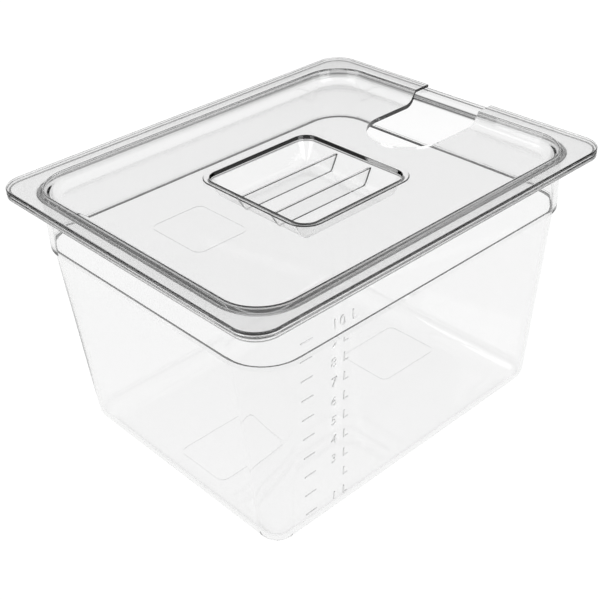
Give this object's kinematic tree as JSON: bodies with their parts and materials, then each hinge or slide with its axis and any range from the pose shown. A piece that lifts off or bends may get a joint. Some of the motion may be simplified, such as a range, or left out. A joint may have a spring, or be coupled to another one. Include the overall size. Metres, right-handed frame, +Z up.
{
  "type": "deli food pan",
  "caption": "Clear rectangular food pan with a hanging flange, a stacking shoulder and a lift-off lid that has a spoon notch and a sunken grip.",
  "frame": {"origin": "centre of the underside of the pan's base", "axes": "+X along the long side towards the lid's notch, +Y across the short side, +Z up"},
  "size_m": [0.325, 0.265, 0.2025],
  "materials": {
    "pan_plastic": "clear moulded plastic, smooth and glossy",
    "lid_plastic": "clear moulded plastic, smooth and glossy"
  },
  "bodies": {
    "pan": {"food_pan": "pan_plastic"},
    "lid": {"notched_lid": "lid_plastic"}
  },
  "joints": [
    {"name": "lid_lift", "type": "slide", "parent": "pan", "child": "lid", "axis": [0, 0, 1], "range_m": [0, 0.11]}
  ]
}
